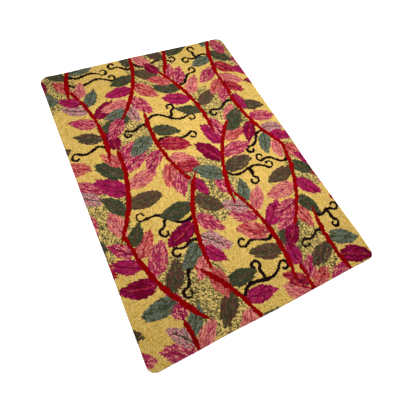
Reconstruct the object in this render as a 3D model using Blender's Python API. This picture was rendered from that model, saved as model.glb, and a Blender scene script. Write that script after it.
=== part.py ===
"""A hand-tufted wool rug lying flat on the floor.

It is one slab: the pile with its backing, in a rounded rectangle whose edges bow in and out by a few
millimetres. The pile rolls over in a soft shoulder all round, and its top is very slightly uneven.
The origin is on the floor under the middle of the rug: +X across it, +Y along it, +Z up. Metres.
"""

import math

import bmesh
import bpy
from mathutils import Vector

# Driving sizes
RUG_WIDTH = 1.400
RUG_LENGTH = 2.000
RUG_THICKNESS = 0.012

# The radius of each corner, by its side across (-1 left, 1 right) and along (-1 near, 1 far)
CORNER_RADII = {
    (-1, -1): 0.048,
    (1, -1): 0.041,
    (1, 1): 0.057,
    (-1, 1): 0.061,
}

# The rolled edge: the pile falls by a quarter ellipse to its widest line, then draws in to the floor
SHOULDER_WIDTH = 0.012
WIDEST_HEIGHT = 0.0035
FOOT_INSET = 0.0020
SHOULDER_STEPS = 5

# The top: how far the pile's height wanders, and the lengths of its slow waves across and along
PILE_SWELL = 0.0006
SWELL_ACROSS = 0.53
SWELL_ALONG = 0.71

# The grid that makes the top: the size of each corner's square block, the cells across it, and the
# cells between the blocks
CORNER_BLOCK = 0.066
CORNER_CELLS = 6
MIDDLE_COLUMNS = 16
MIDDLE_ROWS = 24

# Where an edge bows: its side, the middle of the bow as a share of that side's length from the left
# or near end, how far it reaches each way as a share of it, and its depth inwards (outwards below 0)
EDGE_BOWS = (
    ("near", 0.29, 0.16, 0.0024),
    ("near", 0.55, 0.20, -0.0022),
    ("near", 0.88, 0.13, 0.0022),
    ("far", 0.13, 0.10, 0.0030),
    ("far", 0.46, 0.22, -0.0020),
    ("far", 0.78, 0.15, 0.0024),
    ("left", 0.25, 0.16, 0.0012),
    ("left", 0.52, 0.16, -0.0010),
    ("left", 0.91, 0.09, 0.0030),
    ("right", 0.08, 0.09, -0.0042),
    ("right", 0.34, 0.16, 0.0042),
    ("right", 0.51, 0.10, -0.0020),
    ("right", 0.76, 0.14, -0.0024),
)
BOW_FADE = 0.160

# Wool: the mean colour of the yarns, as linear red, green and blue
PILE_COLOUR = (0.42, 0.22, 0.08)
PILE_ROUGHNESS = 0.95
SHARP_FROM = math.radians(60)


def grid_line(index, middle_cells):
    """A grid line's side (-1, 0 or 1), and how far it lies across its corner block or the middle."""
    last = middle_cells + 2 * CORNER_CELLS
    if index < CORNER_CELLS:
        return -1, 1 - index / CORNER_CELLS
    if index > last - CORNER_CELLS:
        return 1, 1 - (last - index) / CORNER_CELLS
    return 0, (index - CORNER_CELLS) / middle_cells


def rounded_block(across, along, radius):
    """A point of a unit square block, moved so that the block's outer corner has this radius."""
    reach = max(across, along)
    if reach == 0:
        return 0.0, 0.0
    turn = along / across / 2 if across >= along else 1 - across / along / 2
    straight = 1 - radius
    arc = math.pi / 2 * radius
    walk = turn * (2 * straight + arc)
    if walk <= straight:
        return reach, reach * walk
    if walk >= straight + arc:
        return reach * (2 * straight + arc - walk), reach
    angle = (walk - straight) / radius
    return reach * (straight + radius * math.cos(angle)), reach * (straight + radius * math.sin(angle))


def top_place(column, row):
    """Where a grid vertex lies on the flat part of the top, before the edges bow."""
    block = CORNER_BLOCK - SHOULDER_WIDTH
    inner_x = RUG_WIDTH / 2 - CORNER_BLOCK
    inner_y = RUG_LENGTH / 2 - CORNER_BLOCK
    side_x, across = grid_line(column, MIDDLE_COLUMNS)
    side_y, along = grid_line(row, MIDDLE_ROWS)
    if side_x and side_y:
        radius = CORNER_RADII[side_x, side_y] - SHOULDER_WIDTH
        across, along = rounded_block(across, along, radius / block)
    x = side_x * (inner_x + across * block) if side_x else (2 * across - 1) * inner_x
    y = side_y * (inner_y + along * block) if side_y else (2 * along - 1) * inner_y
    return Vector((x, y, 0))


def outward(place):
    """The direction out of the rug, level, at a place on the rim of the flat top."""
    side_x = math.copysign(1, place.x)
    side_y = math.copysign(1, place.y)
    radius = CORNER_RADII[side_x, side_y]
    inner_x = RUG_WIDTH / 2 - radius
    inner_y = RUG_LENGTH / 2 - radius
    over_x = max(0.0, abs(place.x) - inner_x)
    over_y = max(0.0, abs(place.y) - inner_y)
    return Vector((side_x * over_x, side_y * over_y, 0)).normalized()


def bow_depth(side, share):
    """How far a side draws in at this share of its length, in metres."""
    depth = 0.0
    for bow_side, middle, reach, amount in EDGE_BOWS:
        away = abs(share - middle) / reach
        if bow_side == side and away < 1:
            depth += amount * (1 + math.cos(math.pi * away)) / 2
    return depth


def bowed(place):
    """The same place once the edges have bowed, which fades out towards the middle of the rug."""
    share_x = place.x / RUG_WIDTH + 0.5
    share_y = place.y / RUG_LENGTH + 0.5
    pull_x = 0.0
    pull_y = 0.0
    for side, way in (("left", 1), ("right", -1)):
        gap = RUG_WIDTH / 2 + way * place.x
        pull_x += way * bow_depth(side, share_y) * max(0.0, 1 - gap / BOW_FADE)
    for side, way in (("near", 1), ("far", -1)):
        gap = RUG_LENGTH / 2 + way * place.y
        pull_y += way * bow_depth(side, share_x) * max(0.0, 1 - gap / BOW_FADE)
    return Vector((place.x + pull_x, place.y + pull_y, place.z))


def pile_height(place):
    """The height of the pile's top at this place, with its slow swell."""
    wave = math.sin(2 * math.pi * place.x / SWELL_ACROSS) * math.cos(2 * math.pi * place.y / SWELL_ALONG)
    return RUG_THICKNESS + PILE_SWELL * wave


def lay_top(shape):
    """The top of the pile: a grid whose corner blocks are rounded. It returns the rim's edges."""
    columns = MIDDLE_COLUMNS + 2 * CORNER_CELLS
    rows = MIDDLE_ROWS + 2 * CORNER_CELLS
    bmesh.ops.create_grid(shape, x_segments=columns, y_segments=rows, size=1.0)
    for vertex in shape.verts:
        column = round((vertex.co.x + 1) / 2 * columns)
        row = round((vertex.co.y + 1) / 2 * rows)
        vertex.co = top_place(column, row)
        vertex.co.z = pile_height(vertex.co)
    return [edge for edge in shape.edges if edge.is_boundary]


def edge_rings():
    """The rings below the rim: how far out each lies, and its share of the pile's height."""
    rings = []
    for step in range(1, SHOULDER_STEPS + 1):
        angle = math.pi / 2 * step / SHOULDER_STEPS
        widest = WIDEST_HEIGHT / RUG_THICKNESS
        rings.append((SHOULDER_WIDTH * math.sin(angle), widest + (1 - widest) * math.cos(angle)))
    rings.append((SHOULDER_WIDTH - FOOT_INSET, 0.0))
    return rings


def roll_edge(shape, rim):
    """The rolled edge, drawn out and down from the rim. It returns the edges of the last ring."""
    roots = {vertex: vertex.co.copy() for edge in rim for vertex in edge.verts}
    for reach, share in edge_rings():
        made = bmesh.ops.extrude_edge_only(shape, edges=rim)["geom"]
        drawn = {}
        for vertex in (item for item in made if isinstance(item, bmesh.types.BMVert)):
            above = next(other for edge in vertex.link_edges if (other := edge.other_vert(vertex)) in roots)
            root = roots[above]
            drawn[vertex] = root
            vertex.co = root + outward(root) * reach
            vertex.co.z = root.z * share
        roots = drawn
        rim = [item for item in made if isinstance(item, bmesh.types.BMEdge) and item.is_boundary]
    return rim


def centre_on_floor(shape):
    """The outline's middle is brought over the origin."""
    for axis in (0, 1):
        places = [vertex.co[axis] for vertex in shape.verts]
        middle = (max(places) + min(places)) / 2
        for vertex in shape.verts:
            vertex.co[axis] -= middle


def rug_mesh():
    """The whole slab: the top, the rolled edge and the flat underside."""
    shape = bmesh.new()
    rim = lay_top(shape)
    foot = roll_edge(shape, rim)
    bmesh.ops.contextual_create(shape, geom=foot)
    for vertex in shape.verts:
        vertex.co = bowed(vertex.co)
    centre_on_floor(shape)
    bmesh.ops.recalc_face_normals(shape, faces=shape.faces)
    mesh = bpy.data.meshes.new("rug")
    shape.to_mesh(mesh)
    shape.free()
    return mesh


def wool():
    """The pile's material."""
    material = bpy.data.materials.new("pile_wool")
    material.use_nodes = True
    shader = material.node_tree.nodes["Principled BSDF"]
    shader.inputs["Base Color"].default_value = (*PILE_COLOUR, 1.0)
    shader.inputs["Roughness"].default_value = PILE_ROUGHNESS
    shader.inputs["Metallic"].default_value = 0.0
    return material


def main():
    for old in list(bpy.data.objects):
        bpy.data.objects.remove(old)
    mesh = rug_mesh()
    mesh.materials.append(wool())
    mesh.shade_smooth()
    mesh.set_sharp_from_angle(angle=SHARP_FROM)
    bpy.context.scene.collection.objects.link(bpy.data.objects.new("rug", mesh))


main()
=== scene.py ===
import math
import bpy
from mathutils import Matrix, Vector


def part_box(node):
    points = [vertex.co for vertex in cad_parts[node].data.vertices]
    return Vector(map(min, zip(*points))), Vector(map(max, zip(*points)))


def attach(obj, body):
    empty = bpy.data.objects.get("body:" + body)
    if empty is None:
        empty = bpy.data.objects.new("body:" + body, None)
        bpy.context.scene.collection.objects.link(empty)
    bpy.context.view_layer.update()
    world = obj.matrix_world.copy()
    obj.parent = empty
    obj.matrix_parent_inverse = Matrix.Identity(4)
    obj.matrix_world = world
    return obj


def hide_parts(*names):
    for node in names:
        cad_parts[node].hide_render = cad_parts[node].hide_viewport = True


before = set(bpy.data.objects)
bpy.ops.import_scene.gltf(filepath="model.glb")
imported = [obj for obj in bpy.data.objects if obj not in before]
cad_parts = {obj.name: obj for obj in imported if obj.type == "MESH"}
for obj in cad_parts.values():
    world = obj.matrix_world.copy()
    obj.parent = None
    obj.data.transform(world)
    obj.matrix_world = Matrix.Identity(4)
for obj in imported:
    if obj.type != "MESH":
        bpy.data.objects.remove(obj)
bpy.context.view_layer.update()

from types import SimpleNamespace

import bmesh
import bpy
import numpy as np
from mathutils import Euler, Vector
from mathutils.bvhtree import BVHTree

# Camera: where it stands, how it is turned, its lens on a 36 mm sensor and the small shift that frames
# the square picture
CAMERA_PLACE = (-0.6206, -0.9925, 1.6895)
CAMERA_TURN = (26.353, -6.806, -26.427)
CAMERA_LENS = 27.75
CAMERA_SENSOR = 36.0
CAMERA_SHIFT = (-0.0010, -0.0005)

# Light: a warm surround that turns to white towards the horizon, one broad soft lamp over the rug, and
# a white floor whose own glow keeps it white far from the lamp
SURROUND_COLOUR = (0.40, 0.365, 0.295)
BACKDROP_COLOUR = (1.0, 1.0, 1.0)
BACKDROP_TOP = 0.24
BACKDROP_FADE = 0.50
LAMP_PLACE = (0.17, 0.10, 1.72)
LAMP_SIZE = 1.5
LAMP_POWER = 62.7
FLOOR_SIZE = 60.0
FLOOR_DROP = 0.0005
FLOOR_COLOUR = (0.94, 0.94, 0.94)
FLOOR_ROUGHNESS = 0.9
FLOOR_GLOW = 0.58
FLOOR_GLOW_COLOUR = (0.87, 0.92, 1.0)

# The size that the rug is cut to
CUT_WIDTH = 1.400
CUT_LENGTH = 2.000

# Stitches: the spacing of their rows, the spacing along them, how far a stitch strays as a share of it,
# and how level the skin has to be for the top's rows
ROW_PITCH = 0.0046
STITCH_PITCH = 0.0041
STRAY = 0.22
STEEPEST_TOP = 0.80

# Tufts: their own size and how much it varies, how far they lean, as one over a stretch of pile and each
# on its own, and how much their height follows their tone and varies
TUFT_HALF_LENGTH = 0.0070
TUFT_HALF_WIDTH = 0.0051
TUFT_DEPTH = 0.0030
TUFT_SIZES = (0.85, 1.15)
TUFT_LEAN = 0.0006
LEAN_STRETCH = 0.14
HEIGHT_BY_TONE = 0.0010
HEIGHT_JITTER = 0.0002

# The rolled edge: the heights of its rings of tufts, their spacing, the corners of the outline that is
# walked round it, how far outside that the tufts are looked for, and the room left over the floor
EDGE_HEIGHTS = (0.0086, 0.0064, 0.0042, 0.0022)
EDGE_PITCH = 0.0040
EDGE_CORNER = 0.052
EDGE_REACH = 0.030
FLOOR_CLEARANCE = 0.0003

# The ground's rows: the size of their swirls and how far they turn in them, and how far any tuft strays
# from the heading of its stroke
SWIRL = 0.260
SWIRL_TURN = math.radians(130)
STROKE_STRAY = math.radians(11)

# The cloth under the tufts: how deep it lies under the pile's skin, the height of the foot that stays in
# place, how straight down the faces of its back look, and from which angle its edges are sharp
ROOT_DEPTH = 0.0024
FOOT_HEIGHT = 0.001
BACK_FACES = -0.9
CLOTH_SHARP = math.radians(50)

# Strokes of one yarn, by the part worked: their length and width, how much the yarns stray out of
# them, how much the tone of a yarn changes from stroke to stroke and from tuft to tuft, and how
# strictly one row of strokes differs from the next. A leaf whose mix has no line here is worked as "leaf"
STROKES = {
    "ground": (0.0130, 0.0060, 0.30, 0.44, 0.19, 0.0),
    "fleck": (0.0105, 0.0052, 0.16, 0.60, 0.20, 0.0),
    "stem": (0.0160, 0.0070, 0.20, 1.10, 0.26, 0.0),
    "vine": (0.0160, 0.0070, 0.20, 0.70, 0.18, 0.0),
    "green": (0.0170, 0.0072, 0.16, 1.60, 0.36, 0.0),
    "brown": (0.0190, 0.0072, 0.12, 1.40, 0.32, 0.0),
    "dusk": (0.0190, 0.0072, 0.12, 1.40, 0.32, 0.0),
    "grey": (0.0170, 0.0072, 0.14, 1.40, 0.32, 0.0),
    "mauve": (0.0100, 0.0062, 0.18, 1.20, 0.30, 0.0),
    "raspberry": (0.0250, 0.0082, 0.05, 0.95, 0.20, 0.62),
    "crimson": (0.0250, 0.0082, 0.05, 0.95, 0.20, 0.66),
    "coral": (0.0250, 0.0082, 0.05, 0.95, 0.20, 0.66),
    "leaf": (0.0240, 0.0076, 0.06, 0.95, 0.20, 0.42),
}

# How far a stroke sways out of its row, in rows
STROKE_SWAY = 1.1

# The design: leafy sprigs in columns, every second column half a sprig on and turned about, whose stems
# tilt by these degrees in turn, and bend. A foot starts at the first share of its line's thickness, and
# gains the second for each thickness along the line
COLUMN_PITCH = 0.334
SPRIG_PITCH = 0.550
SPRIG_SHIFT = (0.020, -0.070)
SPRIG_TILTS = (-24, 13, -9, 21, -17, 6)
SPRIG_BEND = math.radians(38)
STEM_LENGTH = 0.640
STEM_LINE = 0.031
STEM_STEPS = 16
STEM_FOOT = (0.14, 0.21)

# A stem or a vine: its width at the end with the foot and how much it loses by its tip, both as shares of
# its thickness, and the sizes of the roughness in its sides, with their depths as shares of it too
LINE_WIDEST = 1.08
LINE_TAPER = 0.35
LINE_FINE_ROUGH = (0.008, 0.25)
LINE_BROAD_ROUGH = (0.030, 0.28)

# Patches of flecked ground, one to a sprig: how far from the stem, how long, how wide and how turned
# from it each is, and the size and depth of its broken rim
PATCH_OFF = 0.14
PATCH_LENGTH = 0.40
PATCH_WIDTH = 0.26
PATCH_TURN = 0.5
PATCH_BROKEN = (0.022, 0.45)

# Vines over the bare ground: the lengths that are tried in turn, the points of a stem that they may leave
# from, their thickness, foot, sway and curl, how much of a vine's way has to be open, the stretch near its
# root that has to be all open, the room that it takes on a coarse map of the rug, and its smaller shoot
VINE_LENGTHS = (0.300, 0.240, 0.190, 0.140)
VINE_PLACES = (0, 1, 2, 3, 4, 6, 8, 10, 12, 14)
VINE_LINE = 0.0205
VINE_FOOT = (0.60, 0.40)
VINE_SPREAD = math.radians(88)
VINE_SWAY = 0.14
VINE_CURL = 0.030
VINE_CURL_TURN = math.radians(245)
VINE_CURL_TIGHTENS = 0.48
VINE_OPEN = 0.84
VINE_ROOT = (0.022, 0.080)
VINE_ROOM = 0.026
MAP_CELL = 0.009
VINE_STEPS = 12
CURL_STEPS = 16
SHOOT_SPREAD = math.radians(52)
SHOOT_LENGTH = 0.085

# The leaves of a sprig: where each leaves the stem, as a share of it, its side, its length, its width
# and the degrees that it is turned from the stem
LEAVES = (
    (0.30, 1, 0.186, 0.094, 66),
    (0.35, -1, 0.196, 0.098, 62),
    (0.48, 1, 0.198, 0.102, 58),
    (0.54, -1, 0.202, 0.098, 54),
    (0.66, 1, 0.190, 0.096, 50),
    (0.72, -1, 0.184, 0.094, 47),
    (0.84, 1, 0.168, 0.088, 42),
    (0.90, -1, 0.160, 0.084, 39),
    (1.00, 1, 0.166, 0.088, 2),
)

# How leaves differ in size, as a share, and in their turn, in degrees
LEAF_CHANGE = 0.12
LEAF_TURN_CHANGE = 6

# The form of a leaf: where it starts from the stem's middle, how far round it tufts are looked for, as a
# share of its length, how much its middle bows, how near the stem its belly is, how full it is, and how
# ragged its ends and its sides are
LEAF_START = 0.006
LEAF_REACH = 1.1
LEAF_BOW = 0.10
LEAF_BELLY = 0.85
LEAF_FULLNESS = 0.68
LEAF_RAGGED_ENDS = 0.028
LEAF_RAGGED_SIDES = 0.007

# Its rib, as wide as this and along this share of it, and how far its strokes slant away from the rib
RIB_LINE = 0.0085
RIB_SHARE = 0.80
LEAF_SLANT = math.radians(17)

# The rim, painted lighter: how far in from the outline the pile is painted lighter, by how much of its tone,
# how it fades, and how much lighter again the tufts down the rolled edge are painted, in place of light there
RIM_WIDTH = 0.020
RIM_PAINTED_LIGHT = 0.16
RIM_FADE = 0.7
EDGE_PAINTED_LIGHT = 0.45

# Yarns: their dyed colours as screen red, green and blue, and the share of light that wool sends back
YARN_LIGHT = 0.63
YARNS = {
    "gold_light": (237, 204, 120),
    "gold": (227, 190, 101),
    "gold_deep": (204, 169, 68),
    "olive_fleck": (116, 104, 64),
    "olive_light": (160, 146, 86),
    "red": (147, 0, 5),
    "aubergine_black": (28, 12, 16),
    "forest_green": (62, 70, 48),
    "olive_brown": (94, 80, 52),
    "maroon_brown": (98, 58, 54),
    "grey_green": (104, 114, 100),
    "magenta": (162, 26, 85),
    "burgundy": (116, 8, 46),
    "crimson": (164, 30, 52),
    "rose": (177, 62, 87),
    "coral": (190, 82, 77),
    "pale_pink": (221, 137, 126),
    "mauve": (206, 150, 150),
}

YARN_INDEX = {name: index for index, name in enumerate(YARNS)}

# Mixes: the yarns that are worked side by side in a part, the main one first, with their shares
MIXES = {
    "ground": (("gold", 0.46), ("gold_light", 0.34), ("gold_deep", 0.20)),
    "fleck": (("gold_light", 0.40), ("olive_light", 0.22), ("olive_fleck", 0.28), ("forest_green", 0.10)),
    "stem": (("red", 1.0),),
    "vine": (("aubergine_black", 1.0),),
    "green": (("forest_green", 0.78), ("olive_brown", 0.14), ("grey_green", 0.04), ("aubergine_black", 0.04)),
    "brown": (("olive_brown", 0.46), ("maroon_brown", 0.40), ("forest_green", 0.14)),
    "dusk": (("maroon_brown", 0.50), ("forest_green", 0.36), ("olive_fleck", 0.14)),
    "grey": (("grey_green", 0.68), ("forest_green", 0.22), ("olive_fleck", 0.10)),
    "magenta": (("magenta", 0.74), ("rose", 0.16), ("burgundy", 0.10)),
    "raspberry": (("magenta", 0.40), ("rose", 0.32), ("pale_pink", 0.28)),
    "burgundy": (("burgundy", 0.80), ("magenta", 0.20)),
    "crimson": (("crimson", 0.56), ("burgundy", 0.16), ("coral", 0.28)),
    "rose": (("rose", 0.50), ("magenta", 0.22), ("pale_pink", 0.28)),
    "coral": (("coral", 0.56), ("pale_pink", 0.26), ("crimson", 0.18)),
    "pink": (("pale_pink", 0.60), ("coral", 0.20), ("rose", 0.20)),
    "mauve": (("mauve", 0.60), ("grey_green", 0.20), ("rose", 0.20)),
}

# The mix of the rib down a leaf's middle, by the leaf's own
RIBS = {
    "green": "brown",
    "brown": "green",
    "dusk": "green",
    "grey": "green",
    "magenta": "burgundy",
    "raspberry": "burgundy",
    "burgundy": "crimson",
    "crimson": "burgundy",
    "rose": "magenta",
    "coral": "crimson",
    "pink": "rose",
    "mauve": "dusk",
}

# The leaves' mixes in turn, by sprig
COLOURWAYS = (
    ("green", "brown", "magenta", "pink", "green", "raspberry", "coral", "rose", "burgundy"),
    ("dusk", "green", "rose", "burgundy", "mauve", "grey", "magenta", "pink", "coral"),
    ("green", "grey", "crimson", "raspberry", "pink", "coral", "crimson", "rose", "magenta"),
    ("brown", "green", "coral", "magenta", "rose", "pink", "mauve", "grey", "raspberry"),
    ("grey", "dusk", "burgundy", "rose", "magenta", "coral", "raspberry", "green", "pink"),
)

# Noise: the cells of its table, after which it repeats
NOISE_CELLS = 256

# Fibres: how fine their noise is, how it is drawn out upwards, and the depth of its bump
FIBRE_SCALE = 1300.0
FIBRE_STRETCH = (1.0, 1.0, 0.35)
FIBRE_BUMP = 0.0006

# Wool: how much its shade follows the fibres and the tuft's tone, and the shift between them; where its
# dark, middle and light shades stand and the light that each sends back; the painted shade at the tuft's
# root and painted light at its tip, standing in for the shade deep in the pile; and how rough and glossy it
# is
SHADE_BY_FIBRE = 1.10
SHADE_BY_TONE = 0.62
SHADE_SHIFT = -0.32
SHADE_PLACES = (0.18, 0.52, 0.88)
SHADE_LIGHTS = (0.62, 1.0, 1.34)
ROOT_PAINTED_SHADE = 0.46
TIP_PAINTED_LIGHT = 1.12
WOOL_ROUGHNESS = (0.80, 1.0)
WOOL_GLOSS = 0.02

# The dark feet of the pile, a painted shade between the tufts: their two colours and the fineness of their
# grain
PAINTED_ROOT_SHADE_COLOURS = ((0.018, 0.010, 0.007), (0.042, 0.024, 0.014))
ROOT_GRAIN = 240.0

# The cotton back: the fineness of its weave, the depth of it, its two colours and its roughness
WEAVE_SCALE = 210.0
WEAVE_BUMP = 0.0004
COTTON_COLOURS = ((0.30, 0.24, 0.16), (0.62, 0.54, 0.41))
COTTON_ROUGHNESS = 0.92

# The margin round the rug on the flat map, seen from above, that the tufts' faces are laid on
MAP_MARGIN = 0.004


def soft_noise(across, along, seed):
    """Smooth noise from 0 to 1, with one cell to each unit of across and along."""
    table = np.random.default_rng(seed).random((NOISE_CELLS, NOISE_CELLS))
    column = np.floor(across).astype(int)
    row = np.floor(along).astype(int)
    ease_x = (across - column) ** 2 * (3 - 2 * (across - column))
    ease_y = (along - row) ** 2 * (3 - 2 * (along - row))
    here = column % NOISE_CELLS
    beside = (column + 1) % NOISE_CELLS
    low = table[here, row % NOISE_CELLS] * (1 - ease_x) + table[beside, row % NOISE_CELLS] * ease_x
    row = (row + 1) % NOISE_CELLS
    high = table[here, row] * (1 - ease_x) + table[beside, row] * ease_x
    return low * (1 - ease_y) + high * ease_y


def stroke_values(along, across, length, width, hatch, seed):
    """A number from 0 to 1 for each tuft, the same all along a stroke. The strokes lie like bricks."""
    draw = np.random.default_rng(seed)
    values = draw.random((NOISE_CELLS, NOISE_CELLS))
    starts = draw.random(NOISE_CELLS)
    sway = soft_noise(along / length, across / length, seed + 7) * STROKE_SWAY
    row = np.floor(across / width + sway).astype(int) % NOISE_CELLS
    place = np.floor(along / length + starts[row]).astype(int) % NOISE_CELLS
    return values[row, place] * (1 - hatch) + row % 2 * hatch


def link(tree, source, target):
    """Joins one node's output to another's input."""
    tree.links.new(source, target)


# Camera, floor and light

def set_camera():
    """The camera, which stands over the rug's near left corner and looks down across it."""
    data = bpy.data.cameras.new("camera")
    data.lens = CAMERA_LENS
    data.sensor_width = CAMERA_SENSOR
    data.shift_x, data.shift_y = CAMERA_SHIFT
    camera = bpy.data.objects.new("camera", data)
    camera.location = CAMERA_PLACE
    camera.rotation_euler = Euler([math.radians(angle) for angle in CAMERA_TURN])
    bpy.context.scene.collection.objects.link(camera)
    bpy.context.scene.camera = camera


def set_light():
    """The surround, which is whiter towards the horizon, and the lamp over the rug."""
    scene = bpy.context.scene
    scene.view_settings.view_transform = "Standard"
    scene.world = bpy.data.worlds.new("surround")
    scene.world.use_nodes = True
    tree = scene.world.node_tree
    way = tree.nodes.new("ShaderNodeTexCoord")
    parts = tree.nodes.new("ShaderNodeSeparateXYZ")
    link(tree, way.outputs["Generated"], parts.inputs[0])
    height = tree.nodes.new("ShaderNodeValToRGB")
    height.color_ramp.elements[0].position = BACKDROP_TOP
    height.color_ramp.elements[0].color = (*BACKDROP_COLOUR, 1.0)
    height.color_ramp.elements[1].position = BACKDROP_FADE
    height.color_ramp.elements[1].color = (*SURROUND_COLOUR, 1.0)
    link(tree, parts.outputs["Z"], height.inputs["Fac"])
    link(tree, height.outputs["Color"], tree.nodes["Background"].inputs["Color"])
    data = bpy.data.lights.new("lamp", "AREA")
    data.shape = "DISK"
    data.size = LAMP_SIZE
    data.energy = LAMP_POWER
    lamp = bpy.data.objects.new("lamp", data)
    lamp.location = LAMP_PLACE
    scene.collection.objects.link(lamp)


def lay_floor():
    """The white floor, just under the rug."""
    shape = bmesh.new()
    bmesh.ops.create_grid(shape, x_segments=1, y_segments=1, size=FLOOR_SIZE / 2)
    bmesh.ops.translate(shape, verts=shape.verts, vec=(0, 0, -FLOOR_DROP))
    mesh = bpy.data.meshes.new("floor")
    shape.to_mesh(mesh)
    shape.free()
    floor = bpy.data.objects.new("floor", mesh)
    bpy.context.scene.collection.objects.link(floor)
    material = bpy.data.materials.new("floor")
    material.use_nodes = True
    shader = material.node_tree.nodes["Principled BSDF"]
    shader.inputs["Base Color"].default_value = (*FLOOR_COLOUR, 1.0)
    shader.inputs["Roughness"].default_value = FLOOR_ROUGHNESS
    shader.inputs["Emission Color"].default_value = (*FLOOR_GLOW_COLOUR, 1.0)
    shader.inputs["Emission Strength"].default_value = FLOOR_GLOW
    mesh.materials.append(material)


# Where the tufts stand

def rows_of_stitches(draw):
    """Rows of stitches over the rug's whole box, every second row half a stitch on."""
    low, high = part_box("rug")
    across = np.arange(low.x, high.x, ROW_PITCH)
    along = np.arange(low.y, high.y, STITCH_PITCH)
    x, y = np.meshgrid(across, along, indexing="ij")
    y[1::2] += STITCH_PITCH / 2
    x += draw.normal(0, STRAY * ROW_PITCH, x.shape)
    y += draw.normal(0, STRAY * STITCH_PITCH, y.shape)
    return x.ravel(), y.ravel()


def top_tufts(skin, draw):
    """The tufts of the top and its shoulder: where each one's tip is, and the way out of the pile there."""
    places, ways = [], []
    for x, y in zip(*rows_of_stitches(draw)):
        place, way, _, _ = skin.ray_cast(Vector((x, y, 1.0)), Vector((0, 0, -1)))
        if place and way.z > STEEPEST_TOP:
            places.append(place)
            ways.append(way)
    return np.array(places), np.array(ways)


def walked_outline():
    """Points along a rounded rectangle round the rug, each with the level way out there."""
    low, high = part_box("rug")
    points, ways = [], []
    arc_steps = round(EDGE_CORNER * math.pi / 2 / EDGE_PITCH)
    corners = ((1, 1, 0), (-1, 1, 90), (-1, -1, 180), (1, -1, 270))
    for corner, (side_x, side_y, start) in enumerate(corners):
        middle = Vector((
            (high.x if side_x > 0 else low.x) - side_x * EDGE_CORNER,
            (high.y if side_y > 0 else low.y) - side_y * EDGE_CORNER,
        ))
        for step in range(arc_steps):
            angle = math.radians(start + 90 * step / arc_steps)
            way = Vector((math.cos(angle), math.sin(angle)))
            points.append(middle + way * EDGE_CORNER)
            ways.append(way)
        straight = (high.x - low.x if corner % 2 == 0 else high.y - low.y) - 2 * EDGE_CORNER
        way = Vector((math.cos(math.radians(start + 90)), math.sin(math.radians(start + 90))))
        steps = round(straight / EDGE_PITCH)
        for step in range(steps):
            points.append(middle + way * EDGE_CORNER + Vector((-way.y, way.x)) * straight * step / steps)
            ways.append(way)
    return points, ways


def edge_tufts(skin, draw):
    """The tufts of the rolled edge, in rings from the shoulder down to the floor."""
    places, normals = [], []
    points, ways = walked_outline()
    for height in EDGE_HEIGHTS:
        for point, way in zip(points, ways):
            slide = draw.normal(0, STRAY * EDGE_PITCH)
            start = point + way * EDGE_REACH + Vector((-way.y, way.x)) * slide
            level = height + draw.normal(0, STRAY * EDGE_PITCH / 2)
            place, normal, _, _ = skin.ray_cast((start.x, start.y, level), (-way.x, -way.y, 0))
            if place:
                places.append(place)
                normals.append(normal)
    return np.array(places), np.array(normals)


# The design, laid on piece by piece: each tuft's yarn and the way it lies

def work(pattern, chosen, mix, along, across, angle, seed):
    """Works the chosen tufts in a mix of yarns, in strokes that run along one direction."""
    if not len(chosen):
        return
    pattern.bare[chosen] = mix in ("ground", "fleck")
    draw = np.random.default_rng(seed)
    length, width, stray, change, speckle, hatch = STROKES.get(mix, STROKES["leaf"])
    strokes = stroke_values(along, across, length, width, hatch, seed)
    order = np.argsort(np.argsort(strokes + draw.normal(0, stray, len(chosen)))) / len(chosen)
    reached = 0.0
    for yarn, share in MIXES[mix]:
        pattern.yarn[chosen[order >= reached]] = YARN_INDEX[yarn]
        reached += share
    shade = stroke_values(along, across, length, width, 0.0, seed + 1)
    tone = 0.5 + (shade - 0.5) * change + draw.normal(0, speckle, len(chosen))
    pattern.tone[chosen] = np.clip(tone, 0, 1)
    pattern.angle[chosen] = angle + draw.normal(0, STROKE_STRAY, len(chosen))


def seen_from(pattern, x, y, turn, reach):
    """The tufts within reach of a point, and their places along and across a direction from it."""
    chosen = np.flatnonzero((np.abs(pattern.x - x) < reach) & (np.abs(pattern.y - y) < reach))
    away_x = pattern.x[chosen] - x
    away_y = pattern.y[chosen] - y
    along = away_x * math.cos(turn) + away_y * math.sin(turn)
    across = away_y * math.cos(turn) - away_x * math.sin(turn)
    return chosen, along, across


def ragged(along, across, seed):
    """The same places with the outline broken up, more at the ends of the strokes than at their sides."""
    width = STROKES["leaf"][1]
    rough_along = along + (soft_noise(across / width, along * 0, seed) - 0.5) * LEAF_RAGGED_ENDS
    rough_across = across + (soft_noise(along / width, across * 0, seed + 1) - 0.5) * LEAF_RAGGED_SIDES
    return rough_along, rough_across


def lay_ground(pattern):
    """The golden ground, whose rows swirl slowly."""
    swirl = soft_noise(pattern.x / SWIRL, pattern.y / SWIRL, 11)
    angle = math.pi / 2 + (swirl - 0.5) * SWIRL_TURN
    along = pattern.x * np.cos(angle) + pattern.y * np.sin(angle)
    across = pattern.y * np.cos(angle) - pattern.x * np.sin(angle)
    work(pattern, np.arange(len(pattern.x)), "ground", along, across, angle, 12)


def lay_fleck(pattern, x, y, turn, seed):
    """A patch of ground flecked with olive, with a broken rim."""
    chosen, along, across = seen_from(pattern, x, y, turn, PATCH_LENGTH)
    cell, depth = PATCH_BROKEN
    rim = (soft_noise(along / cell, across / cell, seed) - 0.5) * depth
    inside = (2 * along / PATCH_LENGTH) ** 2 + (2 * across / PATCH_WIDTH) ** 2 + rim < 1
    work(pattern, chosen[inside], "fleck", along[inside], across[inside], turn, seed + 1)


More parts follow.
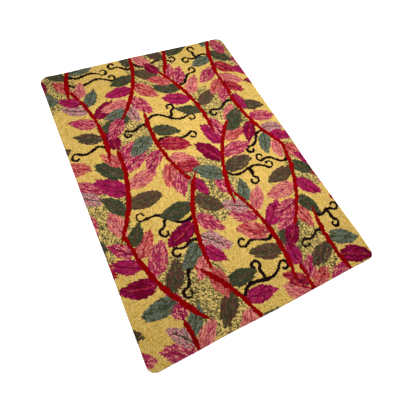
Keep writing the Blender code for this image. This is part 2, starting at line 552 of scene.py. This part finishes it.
def line_tufts(pattern, points, thickness, seed, foot):
    """The tufts of a line through these points, their places along and off it, and its heading there.

    It grows from its foot's share of the thickness to the whole, and then tapers to its last point.
    """
    points = np.array(points)
    low = points.min(0) - thickness
    high = points.max(0) + thickness
    near = np.flatnonzero(
        (pattern.x > low[0]) & (pattern.x < high[0]) & (pattern.y > low[1]) & (pattern.y < high[1])
    )
    place = np.stack([pattern.x[near], pattern.y[near]], 1)
    steps = points[1:] - points[:-1]
    lengths = np.linalg.norm(steps, axis=1)
    share = ((place[:, None] - points[None, :-1]) * steps).sum(2) / lengths ** 2
    closest = points[None, :-1] + steps * np.clip(share, 0, 1)[:, :, None]
    gap = np.linalg.norm(place[:, None] - closest, axis=2)
    nearest = gap.argmin(1)
    off = gap[np.arange(len(near)), nearest]
    before = np.concatenate([[0], np.cumsum(lengths)])[nearest]
    run = before + (lengths * np.clip(share, 0, 1))[np.arange(len(near)), nearest]
    taper = LINE_WIDEST - LINE_TAPER * run / lengths.sum()
    half = thickness / 2 * taper * np.clip(foot[0] + run / thickness * foot[1], 0, 1)
    rough = np.zeros(len(near))
    for noise_seed, (cell, depth) in ((seed, LINE_FINE_ROUGH), (seed + 2, LINE_BROAD_ROUGH)):
        noise = soft_noise(place[:, 0] / cell, place[:, 1] / cell, noise_seed)
        rough += (noise - 0.5) * depth * thickness
    inside = off + rough < half
    heading = np.arctan2(steps[nearest, 1], steps[nearest, 0])
    return near[inside], run[inside], off[inside], heading[inside]


def lay_stem(pattern, number, points):
    """A sprig's red stem."""
    seed = 4000 + 10 * number
    chosen, run, off, heading = line_tufts(pattern, points, STEM_LINE, seed, STEM_FOOT)
    work(pattern, chosen, "stem", run, off, heading, seed + 1)


def scroll(x, y, turn, length, side):
    """The points of a vine that sways out from a place and curls at its end."""
    points = []
    for step in range(VINE_STEPS):
        share = step / VINE_STEPS
        sway = -side * length * VINE_SWAY * math.sin(2 * math.pi * share) * (1 - share / 2)
        points.append((length * share, sway))
    for step in range(CURL_STEPS + 1):
        share = step / CURL_STEPS
        radius = VINE_CURL * (1 - VINE_CURL_TIGHTENS * share)
        angle = side * (VINE_CURL_TURN * share - math.pi / 2)
        points.append((length + radius * math.cos(angle), side * VINE_CURL + radius * math.sin(angle)))
    return [
        (
            x + along * math.cos(turn) - across * math.sin(turn),
            y + along * math.sin(turn) + across * math.cos(turn),
        )
        for along, across in points
    ]


def open_ground(pattern):
    """A coarse map of the rug: the middles of its cells, and the share of each one that is bare."""
    low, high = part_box("rug")
    edges_x = np.arange(low.x, high.x, MAP_CELL)
    edges_y = np.arange(low.y, high.y, MAP_CELL)
    bare, _, _ = np.histogram2d(pattern.x, pattern.y, (edges_x, edges_y), weights=pattern.bare * 1.0)
    whole, _, _ = np.histogram2d(pattern.x, pattern.y, (edges_x, edges_y))
    x, y = np.meshgrid(edges_x[:-1] + MAP_CELL / 2, edges_y[:-1] + MAP_CELL / 2, indexing="ij")
    return SimpleNamespace(x=x, y=y, share=bare / np.maximum(whole, 1))


def has_room(room, points):
    """Whether a vine through these points stays on the rug, and has its way and its root clear."""
    column = np.round((points[:, 0] - room.x[0, 0]) / MAP_CELL).astype(int)
    row = np.round((points[:, 1] - room.y[0, 0]) / MAP_CELL).astype(int)
    columns, rows = room.share.shape
    if column.min() < 1 or row.min() < 1 or column.max() > columns - 2 or row.max() > rows - 2:
        return False
    share = room.share[column, row]
    away = np.hypot(*(points - points[0]).T)
    root = share[(away > VINE_ROOT[0]) & (away < VINE_ROOT[1])]
    return share.mean() >= VINE_OPEN and root.min() > 0.5


def lay_vine(pattern, room, points, seed):
    """A thin dark vine over bare ground, if its way has room. It says whether it was laid."""
    points = np.array(points)
    if not has_room(room, points):
        return False
    chosen, run, off, heading = line_tufts(pattern, points, VINE_LINE, seed, VINE_FOOT)
    bare = pattern.bare[chosen]
    work(pattern, chosen[bare], "vine", run[bare], off[bare], heading[bare], seed + 1)
    return True


def lay_vines(pattern, laid):
    """Vines with a smaller shoot on their other side, the longest first. Each takes the room round it."""
    room = open_ground(pattern)
    tries = [
        (length, place, side, curl)
        for length in VINE_LENGTHS
        for place in VINE_PLACES
        for side in (1, -1)
        for curl in (1, -1)
    ]
    for trial, (length, place, side, curl) in enumerate(tries):
        for number, points, headings in laid:
            seed = 20000 + 300 * trial + 2 * number
            turn = headings[place] + side * VINE_SPREAD
            main = scroll(*points[place], turn, length, curl)
            if not lay_vine(pattern, room, main, seed):
                continue
            shoot = scroll(*main[VINE_STEPS // 2], turn - curl * SHOOT_SPREAD, SHOOT_LENGTH, -curl)
            taken = main + shoot if lay_vine(pattern, room, shoot, seed + 1) else main
            for x, y in taken:
                room.share[np.hypot(room.x - x, room.y - y) < VINE_ROOM] = 0


def lay_leaf(pattern, x, y, length, width, turn, mix, seed):
    """A pointed leaf in two halves, whose strokes slant away from the rib between them."""
    chosen, along, across = seen_from(pattern, x, y, turn, length * LEAF_REACH)
    across = across - LEAF_BOW * along * (1 - along / length) * (1 if seed % 2 else -1)
    along, across = ragged(along, across, seed)
    share = np.clip(along / length, 0, 1)
    half = width / 2 * np.sin(math.pi * share ** LEAF_BELLY) ** LEAF_FULLNESS
    inside = (along > 0) & (along < length) & (np.abs(across) < half)
    chosen, along, across = chosen[inside], along[inside], across[inside]
    side = np.sign(across)
    run = along * math.cos(LEAF_SLANT) + np.abs(across) * math.sin(LEAF_SLANT)
    off = side * (np.abs(across) * math.cos(LEAF_SLANT) - along * math.sin(LEAF_SLANT))
    work(pattern, chosen, mix, run, off, turn + side * LEAF_SLANT, seed + 2)
    rib = (np.abs(across) < RIB_LINE / 2) & (along < length * RIB_SHARE)
    work(pattern, chosen[rib], RIBS[mix], along[rib], across[rib], turn, seed + 3)


def stem_line(x, y, turn, bend):
    """Points along a stem whose middle is at a place and that bends evenly, and its headings there."""
    headings = turn + bend * (np.arange(STEM_STEPS + 1) / STEM_STEPS - 0.5)
    step = STEM_LENGTH / STEM_STEPS
    points = np.zeros((STEM_STEPS + 1, 2))
    points[1:, 0] = np.cumsum(np.cos(headings[:-1])) * step
    points[1:, 1] = np.cumsum(np.sin(headings[:-1])) * step
    return points + (x, y) - points.mean(0), headings


def sprigs():
    """Every sprig that reaches the rug: its number, the points along its stem and its headings there."""
    found = []
    columns = round(CUT_WIDTH / COLUMN_PITCH / 2) + 1
    rows = round(CUT_LENGTH / SPRIG_PITCH / 2) + 1
    for column in range(-columns, columns + 1):
        for row in range(-rows, rows + 1):
            x = SPRIG_SHIFT[0] + (column + 0.5) * COLUMN_PITCH
            y = SPRIG_SHIFT[1] + (row + column % 2 / 2) * SPRIG_PITCH
            number = len(found)
            turn = math.radians(90 + 180 * (column % 2) + SPRIG_TILTS[number % len(SPRIG_TILTS)])
            bend = SPRIG_BEND * (1 if number % 3 else -1)
            points, headings = stem_line(x, y, turn, bend)
            found.append((number, points, headings))
    return found


def paint_rim_light(pattern, first_edge):
    """Painted light: the tone of the pile is raised a little along the rim, and more so down the rolled edge.
    """
    low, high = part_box("rug")
    gap_x = np.minimum(pattern.x - low.x, high.x - pattern.x)
    gap_y = np.minimum(pattern.y - low.y, high.y - pattern.y)
    corner_x = np.maximum(0, EDGE_CORNER - gap_x)
    corner_y = np.maximum(0, EDGE_CORNER - gap_y)
    gap = np.where(
        (corner_x > 0) & (corner_y > 0),
        EDGE_CORNER - np.hypot(corner_x, corner_y),
        np.minimum(gap_x, gap_y),
    )
    pattern.tone += RIM_PAINTED_LIGHT * np.clip(1 - gap / RIM_WIDTH, 0, 1) ** RIM_FADE
    pattern.tone[first_edge:] += EDGE_PAINTED_LIGHT


def lay_design(x, y):
    """The whole design over tufts at these places."""
    count = len(x)
    pattern = SimpleNamespace(
        x=x,
        y=y,
        yarn=np.zeros(count, int),
        angle=np.zeros(count),
        tone=np.zeros(count),
        bare=np.ones(count, bool),
    )
    lay_ground(pattern)
    laid = sprigs()
    for number, points, headings in laid:
        side = 1 if number % 2 else -1
        stem_x, stem_y = points[STEM_STEPS // 3]
        heading = headings[STEM_STEPS // 3]
        patch_x = stem_x + side * PATCH_OFF * math.sin(heading)
        patch_y = stem_y - side * PATCH_OFF * math.cos(heading)
        lay_fleck(pattern, patch_x, patch_y, heading + side * PATCH_TURN, 400 + 20 * number)
    for number, points, headings in laid:
        colours = COLOURWAYS[number % len(COLOURWAYS)]
        for leaf, (share, side, length, width, turned) in enumerate(LEAVES):
            place = round(share * STEM_STEPS)
            seed = 6000 + 131 * number + 11 * leaf
            draw = np.random.default_rng(seed)
            grow = 1 + draw.uniform(-LEAF_CHANGE, LEAF_CHANGE)
            more_turn = draw.uniform(-LEAF_TURN_CHANGE, LEAF_TURN_CHANGE)
            turn = headings[place] + side * math.radians(turned + more_turn)
            start_x = points[place][0] + LEAF_START * math.cos(turn)
            start_y = points[place][1] + LEAF_START * math.sin(turn)
            lay_leaf(pattern, start_x, start_y, length * grow, width * grow, turn, colours[leaf], seed)
    for number, points, _ in laid:
        lay_stem(pattern, number, points)
    lay_vines(pattern, laid)
    return pattern


# The tufts themselves

def tuft_shape():
    """One tuft: a pointed tip with four sides, closed underneath. Its vertices and its triangles."""
    shape = bmesh.new()
    bmesh.ops.create_cone(shape, cap_ends=True, segments=4, radius1=1, radius2=0, depth=1)
    bmesh.ops.remove_doubles(shape, verts=shape.verts, dist=0.001)
    bmesh.ops.translate(shape, verts=shape.verts, vec=(0, 0, -0.5))
    bmesh.ops.triangulate(shape, faces=shape.faces)
    shape.verts.index_update()
    points = np.array([vertex.co[:] for vertex in shape.verts])
    triangles = np.array([[vertex.index for vertex in face.verts] for face in shape.faces])
    shape.free()
    return points, triangles


def tuft_frames(ways, angles):
    """For each tuft, the direction it lies along on the pile and the one across it."""
    level = np.stack([np.cos(angles), np.sin(angles), np.zeros(len(angles))], 1)
    along = level - ways * (level * ways).sum(1, keepdims=True)
    along /= np.linalg.norm(along, axis=1, keepdims=True)
    return along, np.cross(ways, along)


def grown(places, ways, pattern, draw):
    """Every tuft's own vertices, as an array of tufts by vertices by three."""
    points, _ = tuft_shape()
    along, across = tuft_frames(ways, pattern.angle)
    count = len(places)
    lay = soft_noise(pattern.x / LEAN_STRETCH, pattern.y / LEAN_STRETCH, 81) * 2 * math.pi
    lean = np.stack([np.cos(lay), np.sin(lay), np.zeros(count)], 1) * TUFT_LEAN
    lean += draw.normal(0, TUFT_LEAN, (count, 3)) * (1, 1, 0)
    rise = (pattern.tone - 0.5) * HEIGHT_BY_TONE + draw.normal(0, HEIGHT_JITTER, count)
    length = TUFT_HALF_LENGTH * draw.uniform(*TUFT_SIZES, count)
    width = TUFT_HALF_WIDTH * draw.uniform(*TUFT_SIZES, count)
    body = places[:, None, :] + ways[:, None, :] * rise[:, None, None]
    body = body + along[:, None, :] * (points[None, :, 0, None] * length[:, None, None])
    body = body + across[:, None, :] * (points[None, :, 1, None] * width[:, None, None])
    body = body + ways[:, None, :] * (points[None, :, 2, None] * TUFT_DEPTH)
    body = body + lean[:, None, :] * (points[None, :, 2, None] + 1)
    body[:, :, 2] = np.maximum(body[:, :, 2], FLOOR_CLEARANCE)
    return body


def joined_mesh(name, bodies, tones):
    """One mesh of many tufts, with each vertex's tone, painted rim light included, and its share of the way
    up its tuft, from which the wool paints shade towards the root.
    """
    points, triangles = tuft_shape()
    count = len(bodies)
    mesh = bpy.data.meshes.new(name)
    mesh.vertices.add(count * len(points))
    mesh.vertices.foreach_set("co", bodies.astype(np.float32).ravel())
    corners = (triangles[None] + (np.arange(count) * len(points))[:, None, None]).ravel()
    mesh.loops.add(len(corners))
    mesh.loops.foreach_set("vertex_index", corners.astype(np.int32))
    mesh.polygons.add(len(corners) // 3)
    mesh.polygons.foreach_set("loop_start", np.arange(0, len(corners), 3, dtype=np.int32))
    mesh.update(calc_edges=True)
    mesh.validate()
    yarn = mesh.attributes.new("yarn", "FLOAT_VECTOR", "POINT")
    values = np.zeros((count, len(points), 3), np.float32)
    values[:, :, 0] = tones[:, None]
    # The share of the way up its tuft, which the wool turns into painted shade at the root
    values[:, :, 1] = points[None, :, 2] + 1
    yarn.data.foreach_set("vector", values.ravel())
    low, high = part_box("rug")
    sheet = mesh.uv_layers.new(name="OFBake")
    flat = bodies.reshape(-1, 3)[corners]
    map_x = (flat[:, 0] - low.x + MAP_MARGIN) / (high.x - low.x + 2 * MAP_MARGIN)
    map_y = (flat[:, 1] - low.y + MAP_MARGIN) / (high.y - low.y + 2 * MAP_MARGIN)
    sheet.uv.foreach_set("vector", np.stack([map_x, map_y], 1).astype(np.float32).ravel())
    mesh.shade_smooth()
    return mesh


def linear(colour, share):
    """A screen colour as linear light, scaled by a share."""
    return [share * (c / 255 / 12.92 if c < 11 else ((c / 255 + 0.055) / 1.055) ** 2.4) for c in colour]


def wool(name):
    """Dyed wool: each tuft has a tone of its own, its fibres vary, and painted shade darkens it towards its
    root, with painted light at its tip.
    """
    material = bpy.data.materials.new("wool_" + name)
    material.use_nodes = True
    tree = material.node_tree
    shader = tree.nodes["Principled BSDF"]
    place = tree.nodes.new("ShaderNodeTexCoord")
    yarn = tree.nodes.new("ShaderNodeAttribute")
    yarn.attribute_name = "yarn"
    parts = tree.nodes.new("ShaderNodeSeparateXYZ")
    link(tree, yarn.outputs["Vector"], parts.inputs[0])

    upright = tree.nodes.new("ShaderNodeMapping")
    upright.inputs["Scale"].default_value = FIBRE_STRETCH
    link(tree, place.outputs["Object"], upright.inputs["Vector"])
    fibres = tree.nodes.new("ShaderNodeTexNoise")
    fibres.inputs["Scale"].default_value = FIBRE_SCALE
    fibres.inputs["Detail"].default_value = 3.0
    fibres.inputs["Roughness"].default_value = 0.65
    link(tree, upright.outputs["Vector"], fibres.inputs["Vector"])
    blend = tree.nodes.new("ShaderNodeMath")
    blend.operation = "MULTIPLY_ADD"
    blend.inputs[1].default_value = SHADE_BY_FIBRE
    link(tree, fibres.outputs["Fac"], blend.inputs[0])
    tone = tree.nodes.new("ShaderNodeMath")
    tone.operation = "MULTIPLY_ADD"
    tone.inputs[1].default_value = SHADE_BY_TONE
    tone.inputs[2].default_value = SHADE_SHIFT
    link(tree, parts.outputs["X"], tone.inputs[0])
    link(tree, tone.outputs[0], blend.inputs[2])

    shades = tree.nodes.new("ShaderNodeValToRGB")
    shades.color_ramp.elements[0].position = SHADE_PLACES[0]
    shades.color_ramp.elements[1].position = SHADE_PLACES[2]
    shades.color_ramp.elements.new(SHADE_PLACES[1])
    for element, light in zip(shades.color_ramp.elements, SHADE_LIGHTS):
        element.color = (*linear(YARNS[name], light * YARN_LIGHT), 1.0)
    link(tree, blend.outputs[0], shades.inputs["Fac"])

    # Painted shade: the colour darkens from tip to root, standing in for the shade deep in the pile, and is
    # painted lighter at the tip
    root = tree.nodes.new("ShaderNodeMapRange")
    root.inputs["To Min"].default_value = ROOT_PAINTED_SHADE
    root.inputs["To Max"].default_value = TIP_PAINTED_LIGHT
    link(tree, parts.outputs["Y"], root.inputs["Value"])
    deep = tree.nodes.new("ShaderNodeMix")
    deep.data_type = "RGBA"
    deep.blend_type = "MULTIPLY"
    deep.inputs["Factor"].default_value = 1.0
    link(tree, shades.outputs["Color"], deep.inputs["A"])
    link(tree, root.outputs[0], deep.inputs["B"])
    link(tree, deep.outputs["Result"], shader.inputs["Base Color"])

    rough = tree.nodes.new("ShaderNodeMapRange")
    rough.inputs["To Min"].default_value = WOOL_ROUGHNESS[0]
    rough.inputs["To Max"].default_value = WOOL_ROUGHNESS[1]
    link(tree, fibres.outputs["Fac"], rough.inputs["Value"])
    link(tree, rough.outputs[0], shader.inputs["Roughness"])
    bump = tree.nodes.new("ShaderNodeBump")
    bump.inputs["Strength"].default_value = 0.60
    bump.inputs["Distance"].default_value = FIBRE_BUMP
    link(tree, fibres.outputs["Fac"], bump.inputs["Height"])
    link(tree, bump.outputs["Normal"], shader.inputs["Normal"])
    shader.inputs["Specular IOR Level"].default_value = WOOL_GLOSS
    return material


# The cloth under the tufts

def painted_root_shade():
    """Painted shade for the feet of the pile, seen only between the tufts: a near-black top that stands in
    for the shade deep in the pile.
    """
    material = bpy.data.materials.new("pile_roots_painted_shade")
    material.use_nodes = True
    tree = material.node_tree
    shader = tree.nodes["Principled BSDF"]
    place = tree.nodes.new("ShaderNodeTexCoord")
    grain = tree.nodes.new("ShaderNodeTexNoise")
    grain.inputs["Scale"].default_value = ROOT_GRAIN
    link(tree, place.outputs["Object"], grain.inputs["Vector"])
    shades = tree.nodes.new("ShaderNodeValToRGB")
    for element, colour in zip(shades.color_ramp.elements, PAINTED_ROOT_SHADE_COLOURS):
        element.color = (*colour, 1.0)
    link(tree, grain.outputs["Fac"], shades.inputs["Fac"])
    link(tree, shades.outputs["Color"], shader.inputs["Base Color"])
    shader.inputs["Roughness"].default_value = 1.0
    shader.inputs["Specular IOR Level"].default_value = WOOL_GLOSS
    return material


def backing_cloth():
    """Plain cotton cloth glued over the back, in a fine square weave."""
    material = bpy.data.materials.new("backing_cloth")
    material.use_nodes = True
    tree = material.node_tree
    shader = tree.nodes["Principled BSDF"]
    place = tree.nodes.new("ShaderNodeTexCoord")
    threads = []
    for way in ("X", "Y"):
        wave = tree.nodes.new("ShaderNodeTexWave")
        wave.bands_direction = way
        wave.inputs["Scale"].default_value = WEAVE_SCALE
        wave.inputs["Distortion"].default_value = 0.6
        wave.inputs["Detail"].default_value = 1.0
        link(tree, place.outputs["Object"], wave.inputs["Vector"])
        threads.append(wave)
    crossed = tree.nodes.new("ShaderNodeMath")
    crossed.operation = "MULTIPLY"
    link(tree, threads[0].outputs["Fac"], crossed.inputs[0])
    link(tree, threads[1].outputs["Fac"], crossed.inputs[1])
    shades = tree.nodes.new("ShaderNodeValToRGB")
    for element, colour in zip(shades.color_ramp.elements, COTTON_COLOURS):
        element.color = (*colour, 1.0)
    link(tree, crossed.outputs[0], shades.inputs["Fac"])
    link(tree, shades.outputs["Color"], shader.inputs["Base Color"])
    bump = tree.nodes.new("ShaderNodeBump")
    bump.inputs["Strength"].default_value = 0.5
    bump.inputs["Distance"].default_value = WEAVE_BUMP
    link(tree, crossed.outputs[0], bump.inputs["Height"])
    link(tree, bump.outputs["Normal"], shader.inputs["Normal"])
    shader.inputs["Roughness"].default_value = COTTON_ROUGHNESS
    return material


def lay_cloth():
    """The cloth that the tufts are worked through, its top painted near-black as the shade between their
    feet, and its glued back below.
    """
    shape = bmesh.new()
    shape.from_mesh(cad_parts["rug"].data)
    bmesh.ops.remove_doubles(shape, verts=shape.verts, dist=0.00001)
    shape.normal_update()
    inset = [(vertex, vertex.normal.copy()) for vertex in shape.verts if vertex.co.z > FOOT_HEIGHT]
    for vertex, way in inset:
        vertex.co -= way * ROOT_DEPTH
    shape.normal_update()
    mesh = bpy.data.meshes.new("tufted_cloth")
    for face in shape.faces:
        # Painted shade on the top faces, the cotton back on the faces that look straight down
        face.material_index = 1 if face.normal.z < BACK_FACES else 0
        face.smooth = True
    shape.to_mesh(mesh)
    shape.free()
    mesh.materials.append(painted_root_shade())
    mesh.materials.append(backing_cloth())
    mesh.set_sharp_from_angle(angle=CLOTH_SHARP)
    cloth = bpy.data.objects.new("tufted_cloth", mesh)
    bpy.context.scene.collection.objects.link(cloth)
    return cloth


def lay_pile():
    """Every tuft of the rug, one piece for each colour of yarn."""
    draw = np.random.default_rng(7)
    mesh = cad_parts["rug"].data
    skin = BVHTree.FromPolygons([v.co for v in mesh.vertices], [p.vertices for p in mesh.polygons])
    top, top_ways = top_tufts(skin, draw)
    edge, edge_ways = edge_tufts(skin, draw)
    places = np.concatenate([top, edge])
    ways = np.concatenate([top_ways, edge_ways])
    pattern = lay_design(places[:, 0], places[:, 1])
    level = np.hypot(edge_ways[:, 0], edge_ways[:, 1]) > 0
    turned = np.arctan2(edge_ways[level, 0], -edge_ways[level, 1])
    pattern.angle[len(top):][level] = turned
    bodies = grown(places, ways, pattern, draw)
    # Painted light along the rim and down the rolled edge, after the tufts are grown, so it changes their
    # colour only
    paint_rim_light(pattern, len(top))
    pieces = []
    for name, index in YARN_INDEX.items():
        chosen = pattern.yarn == index
        tufts = joined_mesh("pile_" + name, bodies[chosen], pattern.tone[chosen])
        tufts.materials.append(wool(name))
        piece = bpy.data.objects.new("pile_" + name, tufts)
        bpy.context.scene.collection.objects.link(piece)
        pieces.append(piece)
    return pieces


set_camera()
set_light()
lay_floor()
cloth = lay_cloth()
pile = lay_pile()
for piece in [cloth] + pile:
    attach(piece, "root")
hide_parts("rug")
